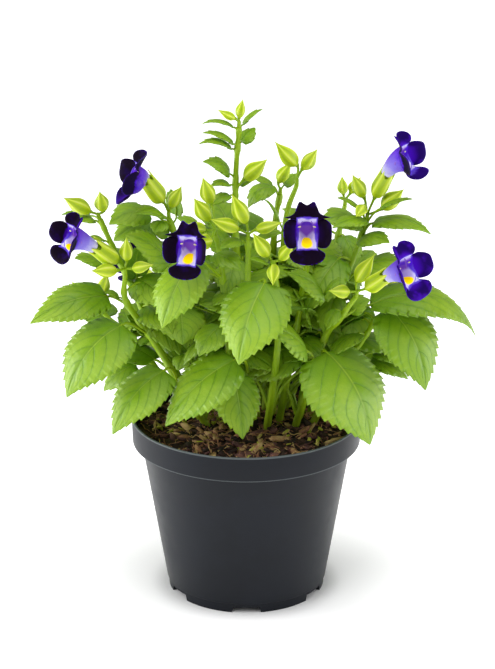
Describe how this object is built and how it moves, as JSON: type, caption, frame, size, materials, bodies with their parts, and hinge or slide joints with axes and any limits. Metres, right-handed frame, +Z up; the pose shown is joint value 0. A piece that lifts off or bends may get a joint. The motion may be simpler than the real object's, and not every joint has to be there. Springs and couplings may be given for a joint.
{
  "type": "potted wishbone flower",
  "caption": "Bushy wishbone flower plant with toothed leaves, keeled buds and two-lipped violet blooms, standing in potting mix in a round dark plastic pot.",
  "frame": {"origin": "centre of the whole plant's bounding box, on the surface that the pot stands on", "axes": "+Z up; -Y to the front, the side that most of the blooms face; +X to the right, seen from the front"},
  "size_m": [0.2462, 0.1908, 0.285],
  "materials": {
    "pot": "satin",
    "soil": "rough",
    "leaf": "satin",
    "bud": "satin",
    "petal": "velvet"
  },
  "bodies": {
    "root": {"pot": "pot", "potting_mix": "soil", "bud_spray_a": "bud", "bud_spray_b": "bud", "bud_spray_c": "bud", "bud_spray_d": "bud", "bud_spray_e": "bud", "bud_spray_f": "bud", "bloom_f": "petal", "bud_spray_g": "bud", "bloom_g": "petal", "bud_spray_h": "bud", "bud_spray_i": "bud", "bloom_i": "petal", "bud_spray_j": "bud", "bloom_j": "petal", "bud_spray_k": "bud", "bud_spray_l": "bud", "bloom_l": "petal", "bud_spray_u": "bud", "bloom_u": "petal", "bud_spray_n": "bud", "bloom_n": "petal", "bud_spray_p": "bud", "bud_spray_q": "bud", "bloom_q": "petal", "bud_spray_r": "bud", "bud_spray_s": "bud", "leafy_stem_a": "leaf", "leafy_stem_b": "leaf", "leafy_stem_c": "leaf", "leafy_stem_d": "leaf", "leafy_stem_e": "leaf", "leafy_stem_f": "leaf", "leafy_stem_g": "leaf", "leafy_stem_h": "leaf", "leafy_stem_i": "leaf", "leafy_stem_j": "leaf", "leafy_stem_k": "leaf", "leafy_stem_l": "leaf", "leafy_stem_m": "leaf", "leafy_stem_n": "leaf", "leafy_stem_p": "leaf", "leafy_stem_q": "leaf", "leafy_stem_r": "leaf", "leafy_stem_s": "leaf", "leafy_stem_u": "leaf"}
  },
  "joints": []
}
